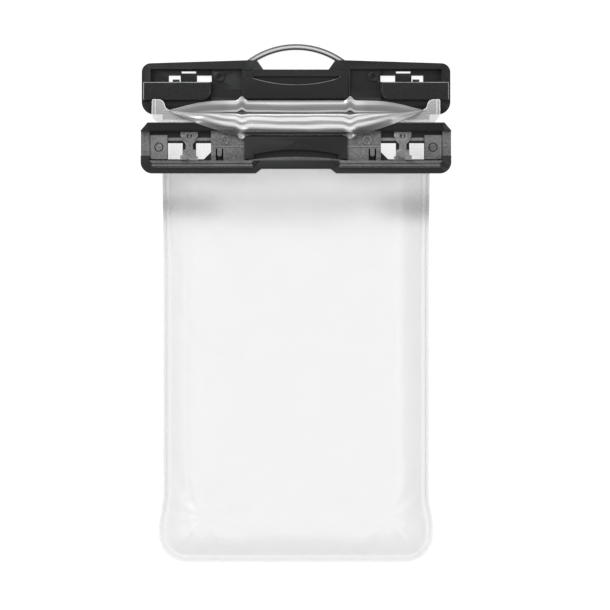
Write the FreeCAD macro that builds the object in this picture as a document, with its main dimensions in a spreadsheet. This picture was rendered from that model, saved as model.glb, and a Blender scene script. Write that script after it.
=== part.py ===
import FreeCAD, Part
import math
import operator
import os

import Sketcher
from FreeCAD import Placement, Rotation, Vector

# Waterproof phone case lying on its back with its clamp open like a book.
# X runs along the clamp, Y from the pouch's bottom towards the lanyard arch, Z up from the floor.
# The mouth of the pouch, where both clamp halves meet, is called the spine.
# Both halves are drawn with Y measured from the spine and Z from their outer face.

# Driving sizes in millimetres: name, number, meaning
SIZES = [
    ("clamp_length", 123.8, "length of both clamp halves"),
    ("seal_offset", 1.9, "spine to the seal edge of each half"),
    ("wall", 1.6, "moulded floor thickness of both halves"),
    ("edge_round", 0.9, "rounding of the outer faces' edges"),
    ("parting_gap", 0.1, "gap between the closed halves' rims"),
    ("running_gap", 0.3, "clearance of soft and sliding pieces"),
    ("seat_gap", 0.05, "clearance of fixed inserts in their seats"),
    ("film", 0.4, "thickness of the clear film"),
    ("back_depth", 5.0, "thickness of the back half"),
    ("back_end_height", 20.3, "height of the back half at its ends"),
    ("back_mid_height", 21.6, "height of the back half at its middle"),
    ("taper_start", 20.0, "half width of the untapered middle"),
    ("back_low_round", 4.8, "corner radius beside the seal edge"),
    ("back_top_round", 3.6, "corner radius at the top rail"),
    ("top_rail", 2.2, "width of the back half's top rail"),
    ("end_wall", 3.5, "width of the end walls"),
    ("arch_peak", 30.1, "spine to the top of the lanyard arch"),
    ("arch_half", 22.4, "half span of the arch at its feet"),
    ("arch_foot", 3.4, "width of each foot of the arch"),
    ("arch_width", 2.2, "width of the arch's bar"),
    ("arch_round", 0.7, "rounding of the arch's edges"),
    ("arch_depth", 3.2, "thickness of the arch's bar"),
    ("hole_top_half", 15.7, "half width of the lanyard hole at the top edge"),
    ("hole_low_half", 13.1, "half width of the lanyard hole at its floor"),
    ("hole_floor", 19.8, "spine to the lanyard hole's floor"),
    ("window_inner", 33.9, "middle to the inner end of each window"),
    ("window_outer", 51.1, "middle to the outer end of each window"),
    ("block_inset", 0.6, "end of the clamp to each pressure block"),
    ("block_low", 5.6, "seal edge to the pressure blocks"),
    ("block_height", 7.2, "height of the pressure blocks"),
    ("block_proud", 2.5, "rise of the blocks above the rim"),
    ("block_seat", 3.4, "seat of the pressure blocks above the outer face"),
    ("block_round", 3.0, "radius of each block's inner end"),
    ("block_edge", 0.5, "rounding of the blocks' upper edges"),
    ("back_window_low", 15.0, "spine to the back windows' lower edge"),
    ("back_window_top", 17.5, "spine to the back windows' upper edge"),
    ("tab_outer", 46.4, "middle to the outer side of the lock tab"),
    ("tab_inner", 39.8, "middle to the inner side of the lock tab"),
    ("catch_length", 2.8, "length of the catch ledge beside the tab"),
    ("catch_reach", 1.1, "reach of the catch ledge beyond the block"),
    ("catch_depth", 1.4, "thickness of the catch ledge"),
    ("section_floor", 3.2, "floor between the bar and the windows"),
    ("boss_radius", 2.0, "outer radius of the ring bosses"),
    ("boss_bore", 1.1, "inner radius of the ring bosses"),
    ("back_boss_x", 30.8, "middle to the back half's ring bosses"),
    ("back_boss_y", 17.0, "spine to the back half's ring bosses"),
    ("step_low", 6.6, "seal edge to the step beside the back bar"),
    ("step_width", 3.4, "width of that step"),
    ("strip_low", 0.6, "seal edge to the seal strips"),
    ("strip_width", 2.6, "width of the seal strips"),
    ("strip_depth", 1.3, "thickness of the seal strips"),
    ("strip_inset", 3.2, "end of the clamp to each end of a seal strip"),
    ("back_bar_half", 20.8, "half length of the back film bar"),
    ("back_bar_low", 8.1, "spine to the back film bar"),
    ("back_bar_far", 16.3, "spine to the back bar's far edge"),
    ("back_bar_dip", 13.7, "spine to the back bar's far edge at its middle"),
    ("back_lug_top", 19.4, "spine to the top of the back bar's lugs"),
    ("bar_seat", 3.6, "seat of the back bar above the outer face"),
    ("back_bar_top", 6.0, "face of the back bar above the outer face"),
    ("lug_width", 3.6, "width of the bars' end lugs"),
    ("front_depth", 5.6, "thickness of the front half"),
    ("front_height", 20.3, "height of the front half"),
    ("front_round", 4.4, "corner radius at the front half's rim"),
    ("chamfer_x", 2.7, "corner cut beside the seal edge, along the clamp"),
    ("chamfer_y", 3.2, "corner cut beside the seal edge, across the clamp"),
    ("rim_low", 17.1, "spine to the front half's rim"),
    ("notch_half", 13.8, "half width of the rim's middle notch"),
    ("notch_slope", 2.3, "width of the notch's sloping ends"),
    ("notch_floor", 20.4, "spine to the notch's edge"),
    ("line_low", 18.1, "spine to the first line along the rim"),
    ("line_pitch", 1.3, "distance between the rim's lines"),
    ("line_width", 0.5, "width of the rim's lines"),
    ("line_depth", 0.6, "depth of the rim's lines"),
    ("line_turn", 17.0, "middle to the place where the outer line turns in at the notch"),
    ("shelf_drop", 0.7, "seal shelf below the rim"),
    ("shelf_top", 5.3, "spine to the inner edge of the seal shelf"),
    ("tray_drop", 2.8, "pads and locks below the rim"),
    ("pad_inner", 51.3, "middle to the inner side of each pad"),
    ("pad_outer", 58.1, "middle to the outer side of each pad"),
    ("pad_low", 6.9, "spine to the pads"),
    ("pad_high", 16.5, "spine to the pads' far edge"),
    ("ring_radius", 1.85, "outer radius of the ring mark on each pad"),
    ("ring_width", 0.35, "width of the ring mark"),
    ("ring_depth", 0.2, "depth of the ring mark"),
    ("saddle_low", 5.5, "spine to the low part of the end walls"),
    ("saddle_high", 15.2, "spine to its far edge"),
    ("window_low", 10.1, "spine to the front windows"),
    ("window_high", 16.5, "spine to the front windows' far edge"),
    ("lip_low", 7.9, "spine to the guide lip"),
    ("lip_high", 9.1, "spine to the guide lip's far edge"),
    ("lip_top", 1.9, "guide lip above the outer face"),
    ("gusset", 2.9, "leg of the window's corner gusset"),
    ("plate_top", 3.0, "grey plate above the outer face"),
    ("front_boss_x", 28.4, "middle to the front half's ring bosses"),
    ("front_boss_y", 8.8, "spine to the front half's ring bosses"),
    ("ridge_y", 11.1, "spine to the plate's cross ridge"),
    ("ridge_width", 0.6, "width of the cross ridge"),
    ("slot_inner", 29.0, "middle to the inner side of the pin slot"),
    ("slot_outer", 32.0, "middle to the outer side of the pin slot"),
    ("slot_low", 12.3, "spine to the pin slot"),
    ("tongue_width", 1.8, "width of the round-nosed tongue"),
    ("tongue_length", 3.2, "length of the round-nosed tongue"),
    ("front_bar_half", 20.5, "half length of the front film bar"),
    ("front_bar_low", 7.5, "spine to the front film bar"),
    ("front_bar_far", 14.7, "spine to the front bar's far edge"),
    ("front_bar_dip", 12.7, "spine to the front bar's far edge at its middle"),
    ("front_lug_top", 16.4, "spine to the top of the front bar's lugs"),
    ("pin_mark_y", 10.3, "spine to the pin mark on the front bar"),
    ("pin_mark", 0.8, "radius of the pin mark"),
    ("front_bar_seat", 2.0, "seat of the front bar above the outer face"),
    ("front_bar_top", 4.1, "face of the front bar above the outer face"),
    ("rib_rise", 1.5, "rise of the curved rib beside the front bar"),
    ("rib_top", 4.5, "curved rib above the outer face"),
    ("lock_x", 42.6, "middle to the centre of each lock"),
    ("lock_half", 3.45, "half width of the lock's head and foot"),
    ("lock_body", 2.7, "half width of the lock's block"),
    ("lock_neck", 1.45, "half width of the lock's neck"),
    ("lock_mark", 1.1, "outer radius of the ring mark on the lock's head"),
    ("lock_low", 5.6, "spine to the lock's head"),
    ("lock_high", 16.9, "spine to the lock's foot"),
    ("hook_width", 2.6, "width of the lock's hook along the clamp"),
    ("hook_post", 0.9, "thickness of the hook's post"),
    ("hook_nose", 0.9, "reach of the hook's nose"),
    ("hook_grip", 1.0, "thickness of the hook's nose"),
    ("button_recess", 0.9, "depth of the recess for the lock's button"),
    ("grip_width", 0.5, "width of the grip lines on each button"),
    ("grip_depth", 0.3, "depth of the grip lines"),
    ("pouch_length", 178.1, "spine to the pouch's bottom edge"),
    ("pouch_top_width", 107.6, "width of the pouch beside the clamp"),
    ("pouch_low_width", 110.4, "width of the pouch near its bottom"),
    ("pouch_flare", 34.0, "bottom edge to the place where the pouch is widest"),
    ("pouch_round", 11.6, "radius of the pouch's bottom corners"),
    ("pouch_depth", 10.8, "height of the filled pouch"),
    ("weld", 2.4, "width of the pouch's welded border"),
    ("pouch_slope", 7.0, "run of the pouch's sloping sides"),
    ("shoulder_round", 3.4, "radius where sides and front meet"),
    ("lip_reach", 6.4, "spine to the films' bend beside the bars"),
    ("ear_width", 5.4, "width of the ear tabs"),
    ("ear_length", 7.3, "length of the ear tabs"),
    ("ear_offset", 1.3, "pouch's edge to the centre of each ear tab"),
    ("ear_root", 3.2, "spine to the inner corner of each ear tab"),
]

doc = FreeCAD.newDocument("PhoneCase")
sheet = doc.addObject("Spreadsheet::Sheet", "Sizes")
for row, (alias, number, meaning) in enumerate(SIZES, 1):
    sheet.set(f"A{row}", meaning)
    sheet.set(f"B{row}", str(number))
    sheet.setAlias(f"B{row}", alias)
doc.recompute()

OPERATIONS = {"+": operator.add, "-": operator.sub, "*": operator.mul, "/": operator.truediv}


class Size:
    """A length with its number and the expression that keeps it tied to the sheet."""

    def __init__(self, value, text):
        self.value = float(value)
        self.text = text

    def __add__(self, other):
        return combine(self, "+", other)

    def __radd__(self, other):
        return combine(other, "+", self)

    def __sub__(self, other):
        return combine(self, "-", other)

    def __rsub__(self, other):
        return combine(other, "-", self)

    def __mul__(self, other):
        return combine(self, "*", other)

    def __rmul__(self, other):
        return combine(other, "*", self)

    def __truediv__(self, other):
        return combine(self, "/", other)

    def __neg__(self):
        return combine(-1, "*", self)


def as_size(item):
    return item if isinstance(item, Size) else Size(item, repr(float(item)))


def combine(left, sign, right):
    left = as_size(left)
    right = as_size(right)
    return Size(OPERATIONS[sign](left.value, right.value), f"({left.text} {sign} {right.text})")


class Sheet:
    """Gives each size of the sheet as an attribute."""

    def __getattr__(self, alias):
        return Size(getattr(sheet, alias), f"Sizes.{alias}")


S = Sheet()
pieces = []


class Bow:
    """Turns the side after the last corner into an arc through a middle point.

    The arc's centre is held along X or along Y, whichever way the arc bulges.
    """

    def __init__(self, x, y, axis, centre):
        self.x = as_size(x)
        self.y = as_size(y)
        self.kind = f"Distance{axis}"
        self.centre = as_size(centre)

    def mirrored(self):
        centre = -self.centre if self.kind == "DistanceX" else self.centre
        return Bow(-self.x, self.y, self.kind[-1], centre)


# Outlines: a loop is a list of (x, y) corners and bows, or a disc as (x, y, radius)
def rect(x1, x2, y1, y2):
    return [(x1, y1), (x2, y1), (x2, y2), (x1, y2)]


def mirror(loop):
    if isinstance(loop, tuple):
        return (-loop[0], loop[1], loop[2])
    return [item.mirrored() if isinstance(item, Bow) else (-item[0], item[1]) for item in reversed(loop)]


def both(*loops):
    return list(loops) + [mirror(loop) for loop in loops]


def tie(sketch, kind, geometry, point, place):
    """Ties one coordinate of a sketch point to a size."""
    place = as_size(place)
    index = sketch.addConstraint(Sketcher.Constraint(kind, -1, 1, geometry, point, place.value))
    sketch.setExpression(f"Constraints[{index}]", place.text)


def draw_disc(sketch, disc):
    x, y, radius = (as_size(item) for item in disc)
    circle = Part.Circle(Vector(x.value, y.value, 0), Vector(0, 0, 1), radius.value)
    geometry = sketch.addGeometry(circle)
    tie(sketch, "DistanceX", geometry, 3, x)
    tie(sketch, "DistanceY", geometry, 3, y)
    index = sketch.addConstraint(Sketcher.Constraint("Radius", geometry, radius.value))
    sketch.setExpression(f"Constraints[{index}]", radius.text)


def draw_loop(sketch, loop):
    """Draws the sides of a closed loop, joins them and ties every corner."""
    corners = [(as_size(item[0]), as_size(item[1])) for item in loop if not isinstance(item, Bow)]
    bows = {}
    count = 0
    for item in loop:
        if isinstance(item, Bow):
            bows[count - 1] = item
        else:
            count += 1
    points = [Vector(x.value, y.value, 0) for x, y in corners]
    sides = []
    for number, start in enumerate(points):
        end = points[(number + 1) % len(points)]
        bow = bows.get(number)
        if bow is None:
            sides.append((sketch.addGeometry(Part.LineSegment(start, end)), 1, 2))
            continue
        middle = Vector(bow.x.value, bow.y.value, 0)
        if (middle - start).cross(end - middle).z > 0:
            sides.append((sketch.addGeometry(Part.Arc(start, middle, end)), 1, 2))
        else:
            sides.append((sketch.addGeometry(Part.Arc(end, middle, start)), 2, 1))
    for number, (x, y) in enumerate(corners):
        last, _, last_end = sides[number - 1]
        geometry, first_end, _ = sides[number]
        sketch.addConstraint(Sketcher.Constraint("Coincident", last, last_end, geometry, first_end))
        tie(sketch, "DistanceX", geometry, first_end, x)
        tie(sketch, "DistanceY", geometry, first_end, y)
        if number in bows:
            tie(sketch, bows[number].kind, geometry, 3, bows[number].centre)


def draw(body, name, loops, height, plane="XY_Plane"):
    """Makes a sketch of closed loops at a height above one of the body's own planes."""
    sketch = body.newObject("Sketcher::SketchObject", name)
    origin = [item for item in body.Origin.OriginFeatures if item.Role == plane][0]
    sketch.AttachmentSupport = [(origin, "")]
    sketch.MapMode = "FlatFace"
    height = as_size(height)
    sketch.AttachmentOffset = Placement(Vector(0, 0, height.value), Rotation())
    sketch.setExpression("AttachmentOffset.Base.z", height.text)
    for loop in loops:
        if isinstance(loop, tuple):
            draw_disc(sketch, loop)
        else:
            draw_loop(sketch, loop)
    return sketch


def sweep_up(body, kind, name, sketch, length):
    item = body.newObject(f"PartDesign::{kind}", name)
    item.Profile = sketch
    length = as_size(length)
    item.Length = length.value
    item.setExpression("Length", length.text)
    doc.recompute()
    return item


def build_up(body, name, loops, low, high, plane="XY_Plane"):
    """Adds material between two heights."""
    sketch = draw(body, f"{name}_outline", loops, low, plane)
    return sweep_up(body, "Pad", name, sketch, as_size(high) - low)


def cut_down(body, name, loops, high, low, plane="XY_Plane"):
    """Takes material away between two heights and makes sure that some went."""
    before = body.Shape.Volume
    sketch = draw(body, f"{name}_outline", loops, high, plane)
    pocket = sweep_up(body, "Pocket", name, sketch, as_size(high) - low)
    if body.Shape.Volume >= before:
        raise ValueError(f"{name} cuts nothing")
    return pocket


def round_edges(body, name, test, radius):
    """Rounds the edges of the body's newest feature that pass the test."""
    base = body.Tip
    chosen = [f"Edge{n}" for n, edge in enumerate(base.Shape.Edges, 1) if test(edge)]
    fillet = body.newObject("PartDesign::Fillet", name)
    fillet.Base = (base, chosen)
    radius = as_size(radius)
    fillet.Radius = radius.value
    fillet.setExpression("Radius", radius.text)
    doc.recompute()
    if not fillet.isValid():
        raise ValueError(f"{name} fails on {len(chosen)} edges")
    return fillet


def upright_at(y, x=None):
    """Chooses straight upright edges at one Y, and at one distance from the middle if given."""
    y = as_size(y).value
    x = None if x is None else as_size(x).value

    def test(edge):
        ends = [vertex.Point for vertex in edge.Vertexes]
        if len(ends) != 2 or math.hypot(ends[0].x - ends[1].x, ends[0].y - ends[1].y) > 1e-6:
            return False
        return abs(ends[0].y - y) < 0.01 and (x is None or abs(abs(ends[0].x) - x) < 0.01)
    return test


def flat_at(height):
    """Chooses every edge that lies at one height."""
    height = as_size(height).value
    return lambda edge: all(abs(vertex.Point.z - height) < 1e-6 for vertex in edge.Vertexes)


spine_y = (S.pouch_length - S.arch_peak) / 2
front_face = S.pouch_depth + S.running_gap
turned = Rotation(Vector(0, 0, 1), 180)


def place(item, on_front=False):
    """Puts a piece at the spine, for the front half turned to face down the pouch."""
    height = as_size(front_face if on_front else 0)
    rotation = turned if on_front else Rotation()
    item.Placement = Placement(Vector(0, spine_y.value, height.value), rotation)
    item.setExpression("Placement.Base.y", spine_y.text)
    item.setExpression("Placement.Base.z", height.text)


def new_body(name, on_front=False):
    body = doc.addObject("PartDesign::Body", name)
    body.Label = name
    place(body, on_front)
    pieces.append(body)
    return body


# Places that several pieces share
half = S.clamp_length / 2
seal = S.seal_offset
back_top = seal + S.back_mid_height
back_end_top = seal + S.back_end_height
recess_top = back_end_top - S.top_rail
recess_end = half - S.end_wall
block_low = seal + S.block_low
block_high = block_low + S.block_height
block_outer = half - S.block_inset
block_inner = S.window_inner + S.running_gap
strip_low = seal + S.strip_low
strip_high = strip_low + S.strip_width
strip_half = half - S.strip_inset
bar_end = S.back_bar_half + S.seat_gap
shelf = S.front_depth - S.shelf_drop
tray = S.front_depth - S.tray_drop
front_top = seal + S.front_height
closed_stack = S.back_depth + S.parting_gap + S.front_depth
swing_height = (front_face + closed_stack) / 2


def bar_outline(half_length, low, far, dip, lug_top):
    """A film bar: straight beside the mouth, hollow at the far side between two lugs."""
    inner = half_length - S.lug_width
    rise = far - dip
    centre = dip + (inner * inner + rise * rise) / (2 * rise)
    return [
        (-half_length, low), (half_length, low), (half_length, lug_top), (inner, lug_top),
        (inner, far), Bow(0, dip, "Y", centre), (-inner, far), (-inner, lug_top), (-half_length, lug_top),
    ]


def make_arch(body):
    """The lanyard arch, a slender bow whose feet stand in the top edge."""
    foot = back_top - S.arch_width
    inner_half = S.arch_half - S.arch_foot
    rise = S.arch_peak - foot
    centre = S.arch_peak - (S.arch_half * S.arch_half + rise * rise) / (2 * rise)
    inner_peak = S.arch_peak - S.arch_width
    inner_rise = inner_peak - foot
    inner_centre = inner_peak - (inner_half * inner_half + inner_rise * inner_rise) / (2 * inner_rise)
    profile = [
        (S.arch_half, foot), Bow(0, S.arch_peak, "Y", centre), (-S.arch_half, foot),
        (-inner_half, foot), Bow(0, inner_peak, "Y", inner_centre), (inner_half, foot),
    ]
    build_up(body, "arch", [profile], 0, S.arch_depth)

    def bowed(edge):
        ends = [vertex.Point for vertex in edge.Vertexes]
        if edge.Length < S.arch_half.value:
            return False
        return all(end.y > back_top.value - 0.01 and end.z < S.arch_depth.value + 0.01 for end in ends)

    round_edges(body, "arch_edges", bowed, S.arch_round)


# Back half: a shallow moulding with the lanyard arch, windows, tabs and seats
def make_back_frame():
    body = new_body("back_frame")
    outline = [
        (-half, seal), (half, seal), (half, back_end_top), (S.taper_start, back_top),
        (-S.taper_start, back_top), (-half, back_end_top),
    ]
    build_up(body, "back_plate", [outline], 0, S.back_depth)
    round_edges(body, "back_low_corners", upright_at(seal), S.back_low_round)
    round_edges(body, "back_top_corners", upright_at(back_end_top), S.back_top_round)
    round_edges(body, "back_outer_edge", flat_at(0), S.edge_round)
    make_arch(body)
    hole = [
        (-S.hole_low_half, S.hole_floor), (S.hole_low_half, S.hole_floor),
        (S.hole_top_half, back_top), (-S.hole_top_half, back_top),
    ]
    cut_down(body, "lanyard_hole", [hole], S.back_depth, 0)
    seats = [rect(-strip_half, strip_half, strip_low, strip_high)]
    cut_down(body, "back_strip_groove", seats, S.back_depth, S.back_depth - S.strip_depth)
    gap = S.seat_gap
    block_seat = rect(block_inner - gap, block_outer + gap, block_low - gap, block_high)
    cut_down(body, "block_seats", both(block_seat), S.back_depth, S.block_seat)
    deep = rect(S.window_inner, recess_end, block_high, recess_top)
    cut_down(body, "lock_recess", both(deep), S.back_depth, S.wall)
    shallow = rect(bar_end + S.wall / 2, S.window_inner, seal + S.step_low + S.step_width, recess_top)
    cut_down(body, "section_recess", both(shallow), S.back_depth, S.section_floor)
    step = rect(bar_end + S.wall / 2, S.window_inner, seal + S.step_low, seal + S.step_low + S.step_width)
    cut_down(body, "section_step", both(step), S.back_depth, (S.back_depth + S.section_floor) / 2)
    inner_window = rect(S.window_inner + S.seat_gap, S.tab_inner, S.back_window_low, S.back_window_top)
    outer_window = rect(S.tab_outer, S.window_outer, S.back_window_low, S.back_window_top)
    cut_down(body, "back_windows", both(inner_window, outer_window), S.wall, 0)
    slit = rect(S.tab_inner + S.film, S.tab_outer - S.film, recess_top - S.wall, recess_top - S.wall / 2)
    cut_down(body, "tab_slits", both(slit), S.wall, 0)
    boss_top = (S.section_floor + S.back_depth) / 2 + S.parting_gap
    boss = (S.back_boss_x, S.back_boss_y, S.boss_radius)
    build_up(body, "back_bosses", both(boss), S.section_floor, boss_top)
    bore = (S.back_boss_x, S.back_boss_y, S.boss_bore)
    cut_down(body, "back_boss_bores", both(bore), boss_top, S.section_floor)
    seat_low = S.lip_reach
    inner = S.back_bar_half - S.lug_width - gap
    lug_top = S.back_lug_top + gap
    seat = [
        (-bar_end, seat_low), (bar_end, seat_low), (bar_end, lug_top), (inner, lug_top),
        (inner, S.back_bar_far + S.wall / 2), (-inner, S.back_bar_far + S.wall / 2),
        (-inner, lug_top), (-bar_end, lug_top),
    ]
    cut_down(body, "back_bar_seat", [seat], S.back_depth, S.bar_seat)


def make_back_inserts():
    body = new_body("back_film_bar")
    outline = bar_outline(S.back_bar_half, S.back_bar_low, S.back_bar_far, S.back_bar_dip, S.back_lug_top)
    bar_low = S.bar_seat + S.film + S.seat_gap * 2
    build_up(body, "back_bar", [outline], bar_low, S.back_depth)
    face_top = S.back_bar_far + S.film
    face = bar_outline(S.back_bar_half, S.back_bar_low, S.back_bar_far, S.back_bar_dip, face_top)
    build_up(body, "back_bar_face", [face], S.back_depth, S.back_bar_top)
    strip = new_body("back_seal_strip")
    gap = S.seat_gap
    outline = rect(-strip_half + gap, strip_half - gap, strip_low + gap, strip_high - gap)
    build_up(strip, "back_strip", [outline], S.back_depth - S.strip_depth, S.back_depth)
    for side, name in ((-1, "left"), (1, "right")):
        block = new_body(f"{name}_pressure_block")
        outline = rect(block_inner, block_outer, block_low, block_high)
        top = S.back_depth + S.block_proud
        build_up(block, f"{name}_block", [outline if side > 0 else mirror(outline)], S.block_seat, top)
        round_edges(block, f"{name}_block_nose", upright_at(block_low, block_inner), S.block_round)
        round_edges(block, f"{name}_block_edge", flat_at(top), S.block_edge)
        ledge_inner = S.tab_outer + S.running_gap
        ledge_outer = ledge_inner + S.catch_length
        ledge = rect(ledge_inner, ledge_outer, block_high - S.wall, block_high + S.catch_reach)
        ledge_low = S.back_depth - S.catch_depth
        build_up(block, f"{name}_catch", [ledge if side > 0 else mirror(ledge)], ledge_low, S.back_depth)


def rim_line(number):
    """A line that runs along the rim and turns in at 45 degrees beside the notch."""
    width = S.line_width
    low = S.line_low + S.line_pitch * number
    widening = math.sqrt(2) - 1
    turn = S.line_turn + S.line_pitch * (widening * (1 - number))
    inner_turn = turn + width * widening
    run = half - S.front_round
    return [
        (run, low), (run, low + width), (turn, low + width), (turn - (low + width - S.rim_low), S.rim_low),
        (inner_turn - (low - S.rim_low), S.rim_low), (inner_turn, low),
    ]


# Front half: a tray with a rim, pads, windows, guide lips and bosses
def make_front_frame():
    body = new_body("front_frame", on_front=True)
    outline = [
        (-half + S.chamfer_x, seal), (half - S.chamfer_x, seal),
        (half, seal + S.chamfer_y), (half, front_top),
        (S.notch_half + S.notch_slope, front_top), (S.notch_half, S.notch_floor),
        (-S.notch_half, S.notch_floor), (-S.notch_half - S.notch_slope, front_top),
        (-half, front_top), (-half, seal + S.chamfer_y),
    ]
    build_up(body, "front_plate", [outline], 0, S.front_depth)
    round_edges(body, "front_corners", upright_at(front_top, half), S.front_round)
    round_edges(body, "front_outer_edge", flat_at(0), S.edge_round)
    cut_down(body, "seal_shelf", [rect(-half, half, seal - S.wall, S.shelf_top)], S.front_depth, shelf)
    strip = rect(-strip_half, strip_half, strip_low, strip_high)
    cut_down(body, "front_strip_groove", [strip], shelf, shelf - S.strip_depth)
    side_tray = rect(S.window_inner, recess_end, S.shelf_top, S.rim_low)
    cut_down(body, "side_trays", both(side_tray), S.front_depth, S.wall)
    pocket_end = S.front_bar_half + S.seat_gap
    plate = rect(pocket_end, S.window_inner, S.shelf_top, S.rim_low)
    cut_down(body, "plate_recess", both(plate), S.front_depth, S.plate_top)
    rise = S.rib_rise
    centre = S.rim_low - rise + (pocket_end * pocket_end + rise * rise) / (2 * rise)
    seat = rect(-pocket_end, pocket_end, S.shelf_top, S.rim_low)
    cut_down(body, "rib_recess", [seat], S.front_depth, S.rib_top)
    curved = [
        (-pocket_end, S.shelf_top), (pocket_end, S.shelf_top), (pocket_end, S.rim_low),
        Bow(0, S.rim_low - rise, "Y", centre), (-pocket_end, S.rim_low),
    ]
    cut_down(body, "front_bar_seat", [curved], S.rib_top, S.front_bar_seat)
    saddle = rect(recess_end, half, S.saddle_low, S.saddle_high)
    cut_down(body, "saddles", both(saddle), S.front_depth, tray)
    build_up(body, "pads", both(rect(S.pad_inner, S.pad_outer, S.pad_low, S.pad_high)), S.wall, tray)
    ring_x = (S.pad_inner + S.pad_outer) / 2
    ring_y = (S.pad_low + S.pad_high) / 2
    ring = both((ring_x, ring_y, S.ring_radius), (ring_x, ring_y, S.ring_radius - S.ring_width))
    cut_down(body, "pad_rings", ring, tray, tray - S.ring_depth)
    for number in range(2):
        line = both(rim_line(number))
        cut_down(body, f"rim_line_{number + 1}", line, S.front_depth, S.front_depth - S.line_depth)
    window = [
        (S.window_inner, S.window_low), (S.window_outer, S.window_low), (S.window_outer, S.window_high),
        (S.window_inner + S.gusset, S.window_high), (S.window_inner, S.window_high - S.gusset),
    ]
    cut_down(body, "front_windows", both(window), S.wall, 0)
    lip = rect(S.window_inner, S.window_outer, S.lip_low, S.lip_high)
    build_up(body, "guide_lips", both(lip), S.wall, S.lip_top)
    margin = S.wall / 2
    recess = rect(
        S.window_inner - margin, S.window_outer + margin, S.window_low - margin, S.window_high + margin)
    cut_down(body, "button_recess", both(recess), S.button_recess, 0)
    boss_top = S.plate_top + S.film
    boss = (S.front_boss_x, S.front_boss_y, S.boss_radius)
    build_up(body, "front_bosses", both(boss), S.plate_top, boss_top)
    bore = (S.front_boss_x, S.front_boss_y, S.boss_bore)
    cut_down(body, "front_boss_bores", both(bore), boss_top, S.plate_top - S.ring_depth)
    ridge = rect(pocket_end, S.window_inner, S.ridge_y, S.ridge_y + S.ridge_width)
    build_up(body, "cross_ridges", both(ridge), S.plate_top, boss_top)
    slot = rect(S.slot_inner, S.slot_outer, S.slot_low, S.rim_low)
    cut_down(body, "pin_slots", both(slot), S.plate_top, S.wall / 2)
    middle = (S.slot_inner + S.slot_outer) / 2
    radius = S.tongue_width / 2
    tip = S.slot_low + S.tongue_length - radius
    stem = [
        (middle - radius, S.slot_low), (middle + radius, S.slot_low), (middle + radius, tip),
        Bow(middle, tip + radius, "Y", tip), (middle - radius, tip),
    ]
    build_up(body, "tongues", both(stem), S.wall / 2, S.plate_top)


def make_front_inserts():
    body = new_body("front_film_bar", on_front=True)
    lug_top = S.front_lug_top
    outline = bar_outline(S.front_bar_half, S.front_bar_low, S.front_bar_far, S.front_bar_dip, lug_top)
    build_up(body, "front_bar", [outline], S.front_bar_seat, S.front_bar_top)
    mark = (0, S.pin_mark_y, S.pin_mark)
    cut_down(body, "front_bar_mark", [mark], S.front_bar_top, S.front_bar_top - S.ring_depth)
    strip = new_body("front_seal_strip", on_front=True)
    gap = S.seat_gap
    outline = rect(-strip_half + gap, strip_half - gap, strip_low + gap, strip_high - gap)
    build_up(strip, "front_strip", [outline], shelf - S.strip_depth, shelf)


def lock_outline(x):
    """The hourglass plate of a lock about the line at x."""
    wide = S.lock_half
    body = S.lock_body
    neck = S.lock_neck
    head = S.lock_low + S.wall
    waist_low = S.window_low + S.film
    waist_high = (S.window_low + S.window_high) / 2 - S.wall / 2
    shoulder = waist_high + S.film
    foot = S.lock_high - S.wall
    side = [
        (wide, S.lock_low), (wide, head), (body, head + S.edge_round), (body, S.lip_high), (neck, waist_low),
        (neck, waist_high), (body, shoulder), (body, foot), (wide, foot), (wide, S.lock_high),
    ]
    right = [(x + offset, y) for offset, y in side]
    left = [(x - offset, y) for offset, y in reversed(side)]
    return right + left


# Sliding locks: the outward side is the way that each one slides to lock
def make_locks():
    sides = ((1, "left"), (-1, "right"))
    slide_low = S.lip_top + S.seat_gap
    guide_low = S.wall + S.seat_gap
    for side, name in sides:
        slide = new_body(f"{name}_lock_slide", on_front=True)
        x = side * S.lock_x
        build_up(slide, f"{name}_lock_plate", [lock_outline(x)], slide_low, tray)
        mark_y = S.lock_low + S.wall
        mark = [(x, mark_y, S.lock_mark), (x, mark_y, S.lock_mark - S.ring_width)]
        cut_down(slide, f"{name}_lock_mark", mark, tray, tray - S.ring_depth)
        head = rect(x - S.lock_half, x + S.lock_half, S.lock_low, S.lip_low - S.running_gap)
        foot = rect(x - S.lock_half, x + S.lock_half, S.lock_high - S.wall, S.lock_high)
        build_up(slide, f"{name}_lock_guides", [head, foot], guide_low, slide_low + S.seat_gap)
        outer = x + side * S.lock_half
        inner = outer - side * S.hook_width
        low, high = (inner, outer) if side > 0 else (outer, inner)
        nose_low = closed_stack - S.back_depth + S.catch_depth + S.running_gap
        nose_high = nose_low + S.hook_grip
        post = rect(low, high, S.lock_high - S.hook_post, S.lock_high)
        build_up(slide, f"{name}_hook_post", [post], tray, nose_high)
        nose = rect(low, high, S.lock_high - S.hook_post - S.hook_nose, S.lock_high)
        build_up(slide, f"{name}_hook_nose", [nose], nose_low, nose_high)
        button = new_body(f"{name}_lock_button", on_front=True)
        plate = rect(x - S.lock_body, x + S.lock_body, S.window_low - S.film, S.window_high + S.film)
        build_up(button, f"{name}_button_plate", [plate], S.parting_gap, S.button_recess - S.parting_gap)
        stem_low = (S.window_low + S.window_high) / 2
        stem = rect(x - S.lock_neck, x + S.lock_neck, stem_low - S.wall, stem_low + S.wall)
        build_up(button, f"{name}_button_stem", [stem], S.button_recess - S.parting_gap, slide_low)
        grips = []
        for offset in (-S.wall, -S.grip_width / 2, S.wall - S.grip_width):
            low_edge = stem_low + offset
            grips.append(rect(x - S.lock_neck, x + S.lock_neck, low_edge, low_edge + S.grip_width))
        cut_down(button, f"{name}_grip_lines", grips, S.parting_gap + S.grip_depth, S.parting_gap)


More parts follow.
